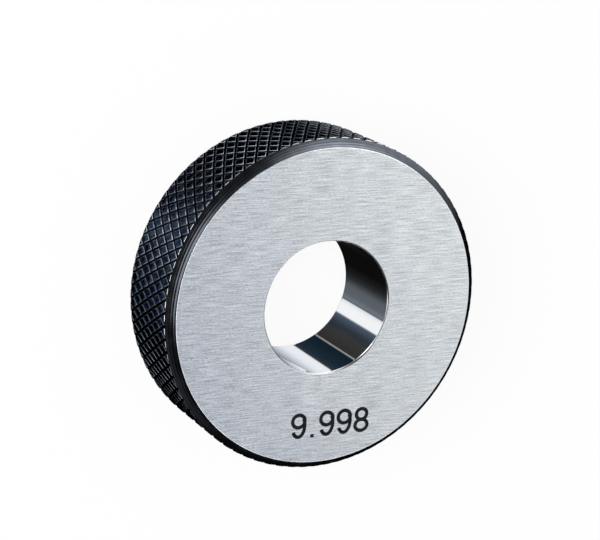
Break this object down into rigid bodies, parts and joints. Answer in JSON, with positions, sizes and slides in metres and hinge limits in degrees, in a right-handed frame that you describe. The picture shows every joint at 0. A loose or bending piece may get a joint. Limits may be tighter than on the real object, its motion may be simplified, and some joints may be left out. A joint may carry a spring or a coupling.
{
  "type": "setting ring gauge",
  "caption": "Round steel setting ring with a lapped gauging bore, ground flat faces, turned edge chamfers and a diamond-knurled rim, used to set and check bore gauges.",
  "frame": {"origin": "centre of the rear face, on the axis of the bore, where the ring rests when it lies flat", "axes": "+Z along the bore from the rear face to the marked face; +X along the lines of the size number, +Y up through it"},
  "size_m": [0.025, 0.025, 0.008],
  "materials": {
    "gauge_steel": "hardened steel: ground and brushed faces, lapped bore, blackened knurl and chamfers"
  },
  "bodies": {
    "root": {"setting_ring": "gauge_steel"}
  },
  "joints": []
}
